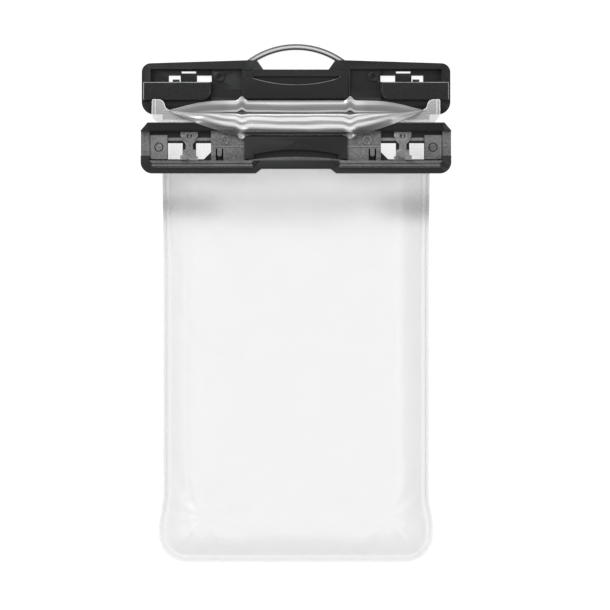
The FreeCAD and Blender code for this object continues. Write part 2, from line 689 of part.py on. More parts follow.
def pouch_outline(inset):
    """Plan of the pouch from its mouth down, a set distance inside its edge."""
    top = S.pouch_top_width / 2 - inset
    low = S.pouch_low_width / 2 - inset
    bend = -S.pouch_length + S.pouch_flare
    bottom = -S.pouch_length + inset
    mouth = -S.running_gap
    return [(-top, mouth), (-low, bend), (-low, bottom), (low, bottom), (low, bend), (top, mouth)]


def make_back_film():
    body = new_body("pouch_back_film")
    build_up(body, "back_sheet", [pouch_outline(0)], 0, S.film)
    corner = S.pouch_low_width / 2
    round_edges(body, "back_sheet_corners", upright_at(-S.pouch_length, corner), S.pouch_round)
    rest = S.back_depth + S.seat_gap
    tuck = S.bar_seat + S.seat_gap
    rise = seal - S.running_gap
    start = S.running_gap / 2
    end = S.back_bar_dip - S.wall
    dip = S.back_bar_low - S.wall / 2
    thin = S.seat_gap
    profile = [
        (-S.pouch_slope, 0), (start, 0), (rise, rest), (S.lip_reach, rest), (dip, tuck), (end, tuck),
        (end, tuck + S.film), (dip + thin, tuck + S.film), (S.lip_reach + thin, rest + S.film),
        (rise - S.film, rest + S.film), (start - S.film, S.film), (-S.pouch_slope, S.film),
    ]
    lip_half = S.pouch_top_width / 2
    build_up(body, "back_lip", [profile], -lip_half, lip_half, "YZ_Plane")
    beyond = S.back_bar_dip
    side = [
        (S.back_bar_half - S.seat_gap, S.lip_reach), (S.lock_x, S.lip_reach),
        (S.window_outer, S.lip_reach / 2),
        (lip_half, seal), (lip_half + S.wall, seal), (lip_half + S.wall, beyond),
        (S.back_bar_half - S.seat_gap, beyond),
    ]
    cut_down(body, "back_lip_sides", both(side), S.back_depth + S.wall, S.bar_seat)


def rounded(name, base, test, radius):
    """Rounds the edges of a plain solid that pass the test."""
    doc.recompute()
    fillet = doc.addObject("Part::Fillet", name)
    fillet.Base = base
    edges = enumerate(base.Shape.Edges, 1)
    fillet.Edges = [(number, radius.value, radius.value) for number, edge in edges if test(edge)]
    return fillet


def pillow(name, inset, low, high, mouth):
    """A filled shape from the mouth down: sloping sides and end, round corners and shoulders."""
    wide = S.pouch_top_width / 2 - S.weld - inset
    long = S.pouch_length - S.weld - inset + mouth
    wedge = doc.addObject("Part::Wedge", f"{name}_wedge")
    sizes = {
        "Xmin": -wide, "Xmax": wide, "X2min": S.pouch_slope - wide, "X2max": wide - S.pouch_slope,
        "Ymin": low, "Ymax": high, "Zmin": -mouth, "Zmax": long - mouth, "Z2min": -mouth,
        "Z2max": long - mouth - S.pouch_slope,
    }
    for corner, place_of_corner in sizes.items():
        setattr(wedge, corner, place_of_corner.value)
        wedge.setExpression(corner, place_of_corner.text)
    wedge.Placement = Placement(Vector(), Rotation(Vector(1, 0, 0), 90))
    middle = -S.pouch_length.value / 2

    def corner_edge(edge):
        ends = [vertex.Point for vertex in edge.Vertexes]
        return abs(ends[0].z - ends[1].z) > 1 and max(end.y for end in ends) < middle

    def shoulder(edge):
        ends = [vertex.Point for vertex in edge.Vertexes]
        return all(abs(end.z - high.value) < 1e-6 for end in ends) and min(end.y for end in ends) < middle

    corners = rounded(f"{name}_corners", wedge, corner_edge, S.pouch_round - S.weld - inset)
    return rounded(f"{name}_shoulders", corners, shoulder, S.shoulder_round - inset)


def make_front_film():
    border = doc.addObject("PartDesign::Body", "weld_border")
    build_up(border, "border_sheet", [pouch_outline(0)], S.film, S.film * 2)
    corner = S.pouch_low_width / 2
    round_edges(border, "border_corners", upright_at(-S.pouch_length, corner), S.pouch_round)
    skin = pillow("film_outside", as_size(0), S.film * 2, S.pouch_depth, -S.running_gap)
    hollow = pillow("film_inside", S.film / 2, S.film, S.pouch_depth - S.film, S.running_gap)
    whole = doc.addObject("Part::MultiFuse", "border_and_skin")
    whole.Shapes = [border, skin]
    film = doc.addObject("Part::Cut", "pouch_front_film")
    film.Base = whole
    film.Tool = hollow
    film.Label = "pouch_front_film"
    place(film)
    pieces.append(film)


def make_front_lip():
    """The film's fold round the front half's seal edge, in the place that it has with the clamp open."""
    body = new_body("front_lip_film")
    low = S.pouch_depth - S.film
    high = front_face + shelf + S.running_gap + S.film
    start = -S.running_gap
    outer = (high - low) / 2
    middle = (high + low) / 2
    bend = -S.shelf_top
    tuck = -S.front_bar_low + S.running_gap
    drop = S.wall
    profile = [
        (start, low), Bow(start + outer, middle, "X", start), (start, high),
        (bend, high), (tuck, high - drop),
        (tuck, high - drop - S.film), (bend, high - S.film), (start, high - S.film),
        Bow(start + outer - S.film, middle, "X", start), (start, low + S.film),
    ]
    lip_half = S.pouch_top_width / 2
    build_up(body, "front_lip", [profile], -lip_half, lip_half, "YZ_Plane")
    beyond = -S.front_bar_low - S.wall
    inner = S.front_bar_half - S.seat_gap
    side = [
        (inner, beyond), (lip_half + S.wall, beyond), (lip_half + S.wall, seal), (S.window_outer, seal),
        (S.lock_x, -seal), (S.front_boss_x, -S.lip_reach), (inner, -S.lip_reach),
    ]
    cut_down(body, "front_lip_sides", both(side), high, middle)


def make_ears():
    low = S.pouch_depth - S.film * 2
    top = S.pouch_depth - S.parting_gap
    fold = S.pouch_top_width / 2 + S.seat_gap
    middle = S.pouch_top_width / 2 + S.ear_offset
    outer = middle + S.ear_width / 2
    inner = middle - S.ear_width / 2
    top_edge = S.ear_length + S.film
    outline = [
        (fold, -S.weld), (outer - S.edge_round, -S.weld), (outer, seal), (outer, top_edge),
        (inner, top_edge), (inner, S.ear_root), (fold, S.ear_root),
    ]
    for name, loop in (("left_ear_film", mirror(outline)), ("right_ear_film", outline)):
        body = new_body(name)
        build_up(body, f"{name}_tab", [loop], low, top)


def check_and_write():
    """Stops on a failed object or a bad solid, then writes one STEP file for each piece."""
    doc.recompute()
    failed = [item.Name for item in doc.Objects if "Invalid" in item.State or "Error" in item.State]
    if failed:
        raise ValueError("failed objects: " + ", ".join(failed))
    os.makedirs("parts", exist_ok=True)
    for piece in pieces:
        shape = piece.Shape
        if shape.isNull() or not shape.isValid():
            raise ValueError(f"{piece.Label} has no valid shape")
        shape.exportStep(f"parts/{piece.Label}.step")
        print(f"{piece.Label}: {len(shape.Solids)} solid, {shape.Volume:.1f} mm3")
    print(f"spine at y {spine_y.value:.2f}, swing axis at z {swing_height.value:.2f}")


make_back_frame()
make_back_inserts()
make_front_frame()
make_front_inserts()
make_locks()
make_back_film()
make_front_film()
make_front_lip()
make_ears()
check_and_write()
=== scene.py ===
"""Looks of the waterproof phone case: finishes, bevelled mouldings and film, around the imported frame.

X points right, Y up in the photograph and Z up from the floor. Shapes are worked out in mm, built in metres.
Along the pouch and the front half, v is the distance below the mouth. Over the mouth, y counts up from it.
"""
import math

import bmesh
import bpy
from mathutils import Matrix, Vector, noise


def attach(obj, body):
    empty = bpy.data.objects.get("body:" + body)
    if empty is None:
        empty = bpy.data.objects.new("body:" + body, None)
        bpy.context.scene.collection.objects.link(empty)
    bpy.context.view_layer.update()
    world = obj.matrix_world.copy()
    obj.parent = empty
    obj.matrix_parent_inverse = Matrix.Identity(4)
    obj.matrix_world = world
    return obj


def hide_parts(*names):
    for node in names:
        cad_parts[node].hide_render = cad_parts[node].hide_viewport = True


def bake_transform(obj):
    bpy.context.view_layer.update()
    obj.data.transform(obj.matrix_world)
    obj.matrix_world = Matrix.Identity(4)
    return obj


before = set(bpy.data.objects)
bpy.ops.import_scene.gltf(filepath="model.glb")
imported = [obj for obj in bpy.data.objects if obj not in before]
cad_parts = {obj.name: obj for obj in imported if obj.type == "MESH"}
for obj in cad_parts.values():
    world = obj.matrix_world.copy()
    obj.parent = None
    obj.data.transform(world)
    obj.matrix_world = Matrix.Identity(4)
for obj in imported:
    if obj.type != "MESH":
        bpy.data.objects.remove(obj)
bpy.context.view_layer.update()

MM = 0.001
SPINE_Y = 74.0            # mouth of the pouch, where both clamp halves meet
FRONT_FACE = 11.1         # height of the front half's outer face with the clamp open
POUCH_LENGTH = 178.1
POUCH_TOP_HALF = 53.8     # half widths of the pouch, at its mouth, along its sides and across its low corners
POUCH_SIDE_HALF = 53.4
POUCH_LOW_HALF = 55.2
TOP_FLARE = (60.0, 10.0)  # where the sides spread towards the mouth
LOW_FLARE = (150.0, 165.0)
POUCH_ROUND = 11.6
POUCH_DEPTH = 10.8
POUCH_START = 0.3         # the sheets start this far below the mouth
WELD = 2.4
FILM = 0.35
ARCH_CENTRE = -2.8        # centre of the lanyard arch's curves, up from the mouth
ARCH_INNER = 30.65
ARCH_OUTER = 32.9
LIP_HALF = 53.6           # half length of the lips of the mouth
VALLEY_X = 21.7           # where both lips dip into a V, out from the middle
EAR_EASE = (39.0, 53.0)   # where the lips narrow towards the ear tabs, out from the middle

# Numbered sockets of the Mix nodes
FACTOR = 0
FIRST_SHADER, SECOND_SHADER = 1, 2
FIRST_NUMBER, SECOND_NUMBER = 2, 3
FIRST_COLOUR, SECOND_COLOUR = 6, 7
MIXED_COLOUR = 2


# Node helpers
def link(tree, source, target):
    tree.links.new(source, target)


def node(tree, kind, **settings):
    item = tree.nodes.new(kind)
    for name, setting in settings.items():
        setattr(item, name, setting)
    return item


def new_material(name):
    made = bpy.data.materials.new(name)
    made.use_nodes = True
    tree = made.node_tree
    tree.nodes.clear()
    output = node(tree, "ShaderNodeOutputMaterial")
    return made, tree, output


def noise_at(tree, scale, detail=4.0, stretch=(1, 1, 1)):
    """Noise in the part's own space. Scale is in features per metre."""
    place = node(tree, "ShaderNodeTexCoord")
    mapping = node(tree, "ShaderNodeMapping")
    mapping.inputs["Scale"].default_value = stretch
    texture = node(tree, "ShaderNodeTexNoise")
    texture.inputs["Scale"].default_value = scale
    texture.inputs["Detail"].default_value = detail
    texture.inputs["Roughness"].default_value = 0.55
    link(tree, place.outputs["Object"], mapping.inputs["Vector"])
    link(tree, mapping.outputs["Vector"], texture.inputs["Vector"])
    return texture.outputs["Fac"]


def grey(level, tint=(1.0, 1.0, 1.0)):
    return tuple(level * part for part in tint)


def ramp(tree, factor, stops, interpolation="LINEAR"):
    item = node(tree, "ShaderNodeValToRGB")
    item.color_ramp.interpolation = interpolation
    elements = item.color_ramp.elements
    while len(elements) > 1:
        elements.remove(elements[-1])
    for number, (position, colour) in enumerate(stops):
        element = elements[0] if number == 0 else elements.new(position)
        element.position = position
        element.color = (*colour, 1)
    link(tree, factor, item.inputs["Fac"])
    return item.outputs["Color"]


def grey_ramp(tree, factor, stops):
    """A smooth ramp through (place, grey level) stops."""
    return ramp(tree, factor, [(along, grey(level)) for along, level in stops], "EASE")


def spread(tree, factor, low, high, from_low=0.3, from_high=0.7):
    item = node(tree, "ShaderNodeMapRange")
    item.inputs["From Min"].default_value = from_low
    item.inputs["From Max"].default_value = from_high
    item.inputs["To Min"].default_value = low
    item.inputs["To Max"].default_value = high
    link(tree, factor, item.inputs["Value"])
    return item.outputs["Result"]


def bump(tree, height, strength, distance):
    item = node(tree, "ShaderNodeBump")
    item.inputs["Strength"].default_value = strength
    item.inputs["Distance"].default_value = distance
    link(tree, height, item.inputs["Height"])
    return item.outputs["Normal"]


def mix_colours(tree, blend_type="MIX"):
    return node(tree, "ShaderNodeMix", data_type="RGBA", blend_type=blend_type)


def mix_shaders(tree, first, second):
    """A mix of two shader outputs. The caller sets its factor."""
    mix = node(tree, "ShaderNodeMixShader")
    link(tree, first, mix.inputs[FIRST_SHADER])
    link(tree, second, mix.inputs[SECOND_SHADER])
    return mix


# Finishes
def moulded(name, dark, light, grain, rough, wear_and_highlight, bump_depth, tint=(1.0, 1.0, 1.0), specular=0.5):
    """Moulded plastic: fine grain, faint flow shading, and edges lightened partly by wear and partly by a
    painted highlight.
    """
    made, tree, output = new_material(name)
    shader = node(tree, "ShaderNodeBsdfPrincipled")
    flow_size, flow_share = 12, 0.45
    fine = noise_at(tree, grain)
    flow = noise_at(tree, grain / flow_size, detail=2.0, stretch=(0.35, 1, 1))
    mixed = node(tree, "ShaderNodeMix", data_type="FLOAT")
    mixed.inputs[FACTOR].default_value = flow_share
    link(tree, fine, mixed.inputs[FIRST_NUMBER])
    link(tree, flow, mixed.inputs[SECOND_NUMBER])
    colour = ramp(tree, mixed.outputs[0], [(0.34, grey(dark, tint)), (0.66, grey(light, tint))])
    geometry = node(tree, "ShaderNodeNewGeometry")
    # Lighter edges by pointiness: partly wear, partly a painted highlight on their rounding
    edge = spread(tree, geometry.outputs["Pointiness"], 0.0, wear_and_highlight, from_low=0.53, from_high=0.62)
    worn_and_lit = mix_colours(tree)
    worn_and_lit.inputs[SECOND_COLOUR].default_value = (*grey(light * 1.4 + 0.07, tint), 1)
    link(tree, edge, worn_and_lit.inputs[FACTOR])
    link(tree, colour, worn_and_lit.inputs[FIRST_COLOUR])
    link(tree, worn_and_lit.outputs[MIXED_COLOUR], shader.inputs["Base Color"])
    link(tree, spread(tree, fine, *rough), shader.inputs["Roughness"])
    shader.inputs["Specular IOR Level"].default_value = specular
    link(tree, bump(tree, fine, 0.5, bump_depth), shader.inputs["Normal"])
    link(tree, shader.outputs["BSDF"], output.inputs["Surface"])
    return made


def polished(name, bands):
    """The arch: smooth and glossy. Its painted bands of highlight and shade run along it, by the distance from
    its curves' centre.
    """
    made, tree, output = new_material(name)
    shader = node(tree, "ShaderNodeBsdfPrincipled")
    place = node(tree, "ShaderNodeTexCoord")
    moved = node(tree, "ShaderNodeMapping")
    moved.inputs["Location"].default_value = (0, -(SPINE_Y + ARCH_CENTRE) * MM, 0)
    moved.inputs["Scale"].default_value = (1, 1, 0)
    length = node(tree, "ShaderNodeVectorMath", operation="LENGTH")
    link(tree, place.outputs["Object"], moved.inputs["Vector"])
    link(tree, moved.outputs["Vector"], length.inputs[0])
    across = spread(tree, length.outputs["Value"], 0.0, 1.0, ARCH_INNER * MM, ARCH_OUTER * MM)
    lines = noise_at(tree, 420, detail=2.0, stretch=(0.1, 1, 1))
    link(tree, grey_ramp(tree, across, bands), shader.inputs["Base Color"])
    shader.inputs["Specular IOR Level"].default_value = 0.3
    link(tree, spread(tree, lines, 0.2, 0.3), shader.inputs["Roughness"])
    link(tree, shader.outputs["BSDF"], output.inputs["Surface"])
    return made


def clear_film(name, milk, body, tint=0.972):
    """Thin clear film: lets light through, milky and glossy where it turns away.

    The mesh's haze_and_shade attribute dims what is seen through it, and covers it a little too: milkiness
    along the weld, painted shadow below the clamp and painted light under its windows.
    """
    turned_milk, haze_and_shade_dims, haze_and_shade_covers = 0.32, -0.4, 0.14
    made, tree, output = new_material(name)
    clear = node(tree, "ShaderNodeBsdfTransparent")
    shader = node(tree, "ShaderNodeBsdfPrincipled")
    cloud = noise_at(tree, 90, detail=3.0)
    colour = ramp(tree, cloud, [(0.3, grey(body * 0.92)), (0.7, grey(body))])
    link(tree, colour, shader.inputs["Base Color"])
    link(tree, spread(tree, cloud, 0.16, 0.26), shader.inputs["Roughness"])
    ripple = noise_at(tree, 70, detail=1.0, stretch=(1, 0.4, 1))
    link(tree, bump(tree, ripple, 0.3, 0.0004), shader.inputs["Normal"])
    facing = node(tree, "ShaderNodeLayerWeight")
    facing.inputs["Blend"].default_value = 0.35
    haze_and_shade_node = node(tree, "ShaderNodeAttribute", attribute_name="haze_and_shade")
    dimmed = node(tree, "ShaderNodeMath", operation="MULTIPLY_ADD", use_clamp=True)
    dimmed.inputs[1].default_value = haze_and_shade_dims
    dimmed.inputs[2].default_value = tint
    link(tree, haze_and_shade_node.outputs["Fac"], dimmed.inputs[0])
    link(tree, dimmed.outputs[0], clear.inputs["Color"])
    turned = spread(tree, facing.outputs["Facing"], milk, turned_milk, from_low=0.0, from_high=1.0)
    cover = node(tree, "ShaderNodeMath", operation="MULTIPLY_ADD")
    cover.inputs[1].default_value = haze_and_shade_covers
    link(tree, haze_and_shade_node.outputs["Fac"], cover.inputs[0])
    link(tree, turned, cover.inputs[2])
    mix = mix_shaders(tree, clear.outputs["BSDF"], shader.outputs["BSDF"])
    link(tree, cover.outputs[0], mix.inputs[FACTOR])
    link(tree, mix.outputs["Shader"], output.inputs["Surface"])
    return made


def painted_reflection_film(name, stops, sides):
    """Film that is stretched over the mouth: painted bands of reflection and shade follow its folds, and a
    painted highlight lights the tip of each V.

    stops are the bands across the fold, and sides their strength from the ends, 0, to the middle, 0.5.
    The mesh's fold coordinates give both places.
    """
    cover, plain_end, lit_tip = 0.92, 0.3, 0.4
    end_stops = [(0.0, 0), (0.1, 0.4), (0.27, 1)]
    valley_stops = [(0.281, 0), (0.2976, 1), (0.314, 0)]     # around VALLEY_X
    made, tree, output = new_material(name)
    clear = node(tree, "ShaderNodeBsdfTransparent")
    clear.inputs["Color"].default_value = (0.9, 0.9, 0.9, 1)
    shader = node(tree, "ShaderNodeBsdfPrincipled")
    place = node(tree, "ShaderNodeUVMap", uv_map="fold")
    split = node(tree, "ShaderNodeSeparateXYZ")
    link(tree, place.outputs["UV"], split.inputs["Vector"])
    waver = noise_at(tree, 60, detail=2.0, stretch=(0.5, 1, 1))
    shifted = node(tree, "ShaderNodeMath", operation="ADD")
    link(tree, split.outputs["Y"], shifted.inputs[0])
    link(tree, spread(tree, waver, -0.03, 0.03), shifted.inputs[1])
    # Painted bands of reflection and shade across the fold
    bands = grey_ramp(tree, shifted.outputs[0], stops)
    outwards = node(tree, "ShaderNodeMath", operation="PINGPONG")
    outwards.inputs[1].default_value = 0.5
    link(tree, split.outputs["X"], outwards.inputs[0])
    share = grey_ramp(tree, outwards.outputs[0], sides)
    ends = grey_ramp(tree, outwards.outputs[0], end_stops)
    colour = mix_colours(tree, "MULTIPLY")
    colour.inputs[FACTOR].default_value = 1.0
    link(tree, bands, colour.inputs[FIRST_COLOUR])
    link(tree, share, colour.inputs[SECOND_COLOUR])
    faded = mix_colours(tree)
    faded.inputs[FIRST_COLOUR].default_value = (*grey(plain_end), 1)
    link(tree, ends, faded.inputs[FACTOR])
    link(tree, colour.outputs[MIXED_COLOUR], faded.inputs[SECOND_COLOUR])
    # A painted highlight on the tip of each V
    valley = grey_ramp(tree, outwards.outputs[0], valley_stops)
    tip = node(tree, "ShaderNodeMath", operation="MULTIPLY")
    link(tree, valley, tip.inputs[0])
    link(tree, spread(tree, split.outputs["Y"], 0.0, 1.0, from_low=0.82, from_high=0.95), tip.inputs[1])
    lit = mix_colours(tree)
    lit.inputs[SECOND_COLOUR].default_value = (*grey(lit_tip), 1)
    link(tree, tip.outputs[0], lit.inputs[FACTOR])
    link(tree, faded.outputs[MIXED_COLOUR], lit.inputs[FIRST_COLOUR])
    link(tree, lit.outputs[MIXED_COLOUR], shader.inputs["Base Color"])
    link(tree, spread(tree, ends, 0.15, 0.5, from_low=0.0, from_high=1.0), shader.inputs["Metallic"])
    link(tree, spread(tree, waver, 0.2, 0.3), shader.inputs["Roughness"])
    ripple = noise_at(tree, 240, detail=2.0, stretch=(0.2, 1, 1))
    link(tree, bump(tree, ripple, 0.2, 0.0001), shader.inputs["Normal"])
    mix = mix_shaders(tree, clear.outputs["BSDF"], shader.outputs["BSDF"])
    mix.inputs[FACTOR].default_value = cover
    link(tree, mix.outputs["Shader"], output.inputs["Surface"])
    return made


# Mouldings: name, dark and light grey, grains a metre, roughness, edge wear and painted edge highlight, bump in
# metres, tint, specular
COOL = (0.96, 1.0, 1.01)
SLATE = (0.97, 0.99, 1.04)
PLAIN = (1, 1, 1)
BLACK = moulded("satin_black", 0.003, 0.007, 1500, (0.36, 0.46), 0.16, 0.00003, COOL, 0.26)
BLOCK = moulded("smooth_black", 0.005, 0.009, 700, (0.27, 0.33), 0.6, 0.000004, COOL, 0.34)
BAR = moulded("slate_black", 0.004, 0.008, 1300, (0.36, 0.46), 0.12, 0.00002, SLATE, 0.25)
# Grained plastic whose light grey paints the sheen of light on the front half's upward faces
SHEEN_GREY = moulded("grain_and_painted_sheen", 0.02, 0.14, 1150, (0.5, 0.66), 0.35, 0.00022)
# Grey that paints the highlight on the front half's rib and rim lines
RIM_HIGHLIGHT = moulded("rim_painted_highlight", 0.03, 0.10, 1400, (0.36, 0.5), 0.7, 0.00008)
# Grey that paints the sheen of light on the lock plates' faces
LOCK_SHEEN = moulded("lock_painted_sheen", 0.035, 0.20, 1250, (0.46, 0.6), 0.3, 0.0002)
RUBBER = moulded("soft_black", 0.003, 0.006, 2200, (0.6, 0.72), 0.0, 0.00004, PLAIN, 0.2)
LIT_EDGE = moulded("lit_edge", 0.12, 0.24, 900, (0.34, 0.44), 0.0, 0.00001, COOL)
# A painted highlight on the rounded edges of the bars' scoops
BAR_HIGHLIGHT = moulded("bar_painted_highlight", 0.1, 0.2, 900, (0.3, 0.4), 0.0, 0.00001, COOL)
# Painted highlight and shade across the arch, from its inner edge to its outer edge
ARCH_HIGHLIGHT_BANDS = [(0.0, 0.02), (0.24, 0.03), (0.36, 0.3), (0.6, 0.5), (0.7, 0.12), (1.0, 0.07)]
ARCH = polished("polished_arch", ARCH_HIGHLIGHT_BANDS)
# Clear films: name, milkiness seen square on, grey of the milk, share of light let through
FILM_CLEAR = clear_film("clear_film", 0.12, 0.64, 0.942)
FILM_EAR = clear_film("ear_film", 0.36, 0.56)
FILM_RIM = clear_film("ear_rim_film", 0.8, 0.7)


# Objects
def add_object(name, data):
    item = bpy.data.objects.new(name, data)
    bpy.context.scene.collection.objects.link(item)
    return item


def object_from(name, work, materials):
    """Ends a bmesh as an object of the scene."""
    mesh = bpy.data.meshes.new(name)
    work.to_mesh(mesh)
    work.free()
    for made in materials:
        mesh.materials.append(made)
    return add_object(name, mesh)


def settle(item):
    """Applies the modifiers, so that the mesh itself carries the shape."""
    bpy.context.view_layer.update()
    evaluated = item.evaluated_get(bpy.context.evaluated_depsgraph_get())
    mesh = bpy.data.meshes.new_from_object(evaluated)
    item.modifiers.clear()
    item.data = mesh


# Bevelled copies of the rigid CAD nodes
def copy_of(cad, name):
    """A CAD node's mesh as a piece of its own, with whole flat faces again instead of triangles."""
    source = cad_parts[cad]
    mesh = source.data.copy()
    mesh.name = name
    mesh.materials.clear()
    item = add_object(name, mesh)
    item.matrix_world = source.matrix_world.copy()
    work = bmesh.new()
    work.from_mesh(mesh)
    work.transform(item.matrix_world)
    item.matrix_world.identity()
    bmesh.ops.remove_doubles(work, verts=work.verts, dist=2e-6)
    bmesh.ops.join_triangles(
        work, faces=work.faces,
        angle_face_threshold=math.radians(0.5), angle_shape_threshold=math.radians(179))
    work.to_mesh(mesh)
    work.free()
    return item


def bevelled(cad, name, body, width, materials, pick=None):
    """A copy of a CAD node with rounded edges. pick gives each face the number of its material."""
    item = copy_of(cad, name)
    for made in materials:
        item.data.materials.append(made)
    bevel = item.modifiers.new("edges", "BEVEL")
    bevel.width = width * MM
    bevel.segments = 2
    bevel.limit_method = "ANGLE"
    bevel.angle_limit = math.radians(38)
    bevel.use_clamp_overlap = True
    bevel.miter_outer = "MITER_ARC"
    settle(item)
    mesh = item.data
    for face in mesh.polygons:
        face.use_smooth = True
        if pick is not None:
            face.material_index = pick(face)
    mesh.set_sharp_from_angle(angle=math.radians(50))
    weighted = item.modifiers.new("flats", "WEIGHTED_NORMAL")
    weighted.keep_sharp = True
    settle(item)
    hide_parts(cad)
    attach(item, body)


TURNED = 0.3              # a face turns towards a side when its normal has more than this of it
NEARLY_FLAT = 0.94
# Ring marks: distance out from the middle and below the mouth, and the radius of the groove's own middle
LOCK_RING = (42.6, 7.6, 0.93)
PAD_RING = (54.7, 11.7, 1.68)


def on_ring(face, centre_x, centre_v, radius):
    """Whether a face is part of the shallow groove of a ring mark."""
    half_groove, largest_area = 0.3, 0.3 * MM * MM
    x = abs(face.center.x / MM) - centre_x
    v = SPINE_Y - face.center.y / MM - centre_v
    in_groove = abs(math.hypot(x, v) - radius) < half_groove
    return in_groove and face.area < largest_area and face.normal.z > TURNED


def lock_face(face):
    """Black, as painted shade, in the groove of a lock plate's ring mark."""
    return 1 if on_ring(face, *LOCK_RING) else 0


def block_face(side):
    """Lighter along a pressure block's top and outer edges, where its rounding catches the light."""
    def pick(face):
        rounding = TURNED < face.normal.z < NEARLY_FLAT
        return 1 if rounding and (face.normal.y > TURNED or face.normal.x * side > TURNED) else 0
    return pick


def bar_highlight_face(face):
    """A painted highlight along the scooped edge of a bar."""
    scoop_half, scoop_y = 17.5, SPINE_Y + 12.0
    rounding = abs(face.normal.y) > TURNED and TURNED < face.normal.z < NEARLY_FLAT
    return 1 if rounding and abs(face.center.x / MM) < scoop_half and face.center.y / MM > scoop_y else 0


def inner_face(face):
    """Grey with a painted sheen, 1, on the upward faces of the front half's tray and ends; grey with a painted
    highlight, 2, on its rib and the rim's lines; black elsewhere, and in the pad rings' grooves as painted
    shade.
    """
    x = abs(face.center.x / MM)
    v = SPINE_Y - face.center.y / MM
    z = face.center.z / MM - FRONT_FACE
    if face.normal.z < TURNED or on_ring(face, *PAD_RING):
        return 0
    tray = 5.2 < v < 17.2 and 20.3 < x < 58.4 and 1.75 < z < 5.0
    end_shelf = x > 58.2 and 5.2 < v < 15.6 and 2.0 < z < 3.2
    if tray or end_shelf:
        return 1
    rib = x < 20.7 and v < 17.3 and 4.2 < z < 4.8
    lines = 17.6 < x < 57.6 and 17.0 < v < 20.3 and z > 4.8
    return 2 if rib or lines else 0


# CAD node, piece, body, width of the bevel in mm, materials, choice of material
bevelled("back_frame", "back_moulding", "back_half", 0.22, [BLACK])
bevelled("back_film_bar", "back_bar", "back_half", 0.25, [BAR, BAR_HIGHLIGHT], bar_highlight_face)
bevelled("back_seal_strip", "back_strip", "back_half", 0.2, [RUBBER])
bevelled(
    "front_frame", "front_moulding", "front_half", 0.16, [BLACK, SHEEN_GREY, RIM_HIGHLIGHT], inner_face)
bevelled("front_film_bar", "front_bar", "front_half", 0.25, [BAR])
bevelled("front_seal_strip", "front_strip", "front_half", 0.2, [RUBBER])
for side in ("left", "right"):
    lock = f"{side}_lock"
    bevelled(
        f"{side}_pressure_block", f"{side}_block", "back_half", 0.15,
        [BLOCK, LIT_EDGE], block_face(-1 if side == "left" else 1))
    bevelled(f"{side}_lock_slide", f"{side}_lock_plate", lock, 0.12, [LOCK_SHEEN, BLACK], lock_face)
    bevelled(f"{side}_lock_button", f"{side}_thumb_button", lock, 0.12, [BLACK])


def make_arch():
    """The lanyard arch as one smooth bow with rounded edges, over the plain one of the moulding."""
    middle = (ARCH_INNER + ARCH_OUTER) / 2
    half_width, half_depth, corner, height = 1.18, 1.65, 0.75, 1.6
    half_turn, turns = 36.5, 120
    section = []
    for across, up, start in ((1, 1, 0), (-1, 1, 90), (-1, -1, 180), (1, -1, 270)):
        for turned in range(0, 91, 15):
            angle = math.radians(start + turned)
            section.append((
                across * (half_width - corner) + corner * math.cos(angle),
                up * (half_depth - corner) + corner * math.sin(angle)))
    work = bmesh.new()
    rings = []
    for number in range(turns + 1):
        turn = math.radians(-half_turn + 2 * half_turn * number / turns)
        ring = []
        for across, up in section:
            radius = middle + across
            y = SPINE_Y + ARCH_CENTRE + radius * math.cos(turn)
            ring.append(work.verts.new(Vector((radius * math.sin(turn), y, height + up)) * MM))
        rings.append(ring)
    count = len(section)
    for first, second in zip(rings, rings[1:]):
        for i in range(count):
            after = (i + 1) % count
            work.faces.new((first[i], first[after], second[after], second[i])).smooth = True
    work.faces.new(rings[0])
    work.faces.new(rings[-1])
    bmesh.ops.recalc_face_normals(work, faces=work.faces)
    item = object_from("lanyard_arch", work, [ARCH])
    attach(item, "back_half")


make_arch()


# Shaping helpers
def smooth(low, high, value):
    part = min(1.0, max(0.0, (value - low) / (high - low)))
    return part * part * (3 - 2 * part)


def bell(value, middle, width):
    return math.exp(-((value - middle) / width) ** 2)


def wobble(a, b, c):
    return noise.noise(Vector((a, b, c)))


def blend_of(low, high, part):
    return low + (high - low) * part


def spaced(low, high, count):
    return [blend_of(low, high, number / (count - 1)) for number in range(count)]


def edge_spaced(count, power=1.8):
    """Numbers from -1 to 1 that crowd towards both ends."""
    return [math.copysign(1 - (1 - abs(part)) ** power, part) for part in spaced(-1, 1, count)]


def sheet_mesh(name, rows, made, haze_and_shade_of=None):
    """A film with a thickness, from rows of (x, y, z) points in mm.

    Its fold coordinates run from 0 to 1 along each row and from the first row to the last.
    """
    work = bmesh.new()
    layer = work.loops.layers.uv.new("fold")
    mark = work.verts.layers.float.new("haze_and_shade")
    grid = [[work.verts.new(Vector(point) * MM) for point in row] for row in rows]
    high = len(rows) - 1
    wide = len(rows[0]) - 1
    for i in range(high):
        for j in range(wide):
            corners = ((i, j), (i, j + 1), (i + 1, j + 1), (i + 1, j))
            face = work.faces.new([grid[a][b] for a, b in corners])
            face.smooth = True
            for loop, (a, b) in zip(face.loops, corners):
                loop[layer].uv = (b / wide, a / high)
    if haze_and_shade_of is not None:
        for row, points in zip(grid, rows):
            for vertex, point in zip(row, points):
                vertex[mark] = haze_and_shade_of(point)
    bmesh.ops.remove_doubles(work, verts=work.verts, dist=1e-6)
    bmesh.ops.recalc_face_normals(work, faces=work.faces)
    item = object_from(name, work, [made])
    thick = item.modifiers.new("thickness", "SOLIDIFY")
    thick.thickness = FILM * MM
    thick.offset = 0.0
    settle(item)
    for face in item.data.polygons:
        face.use_smooth = True
    return item


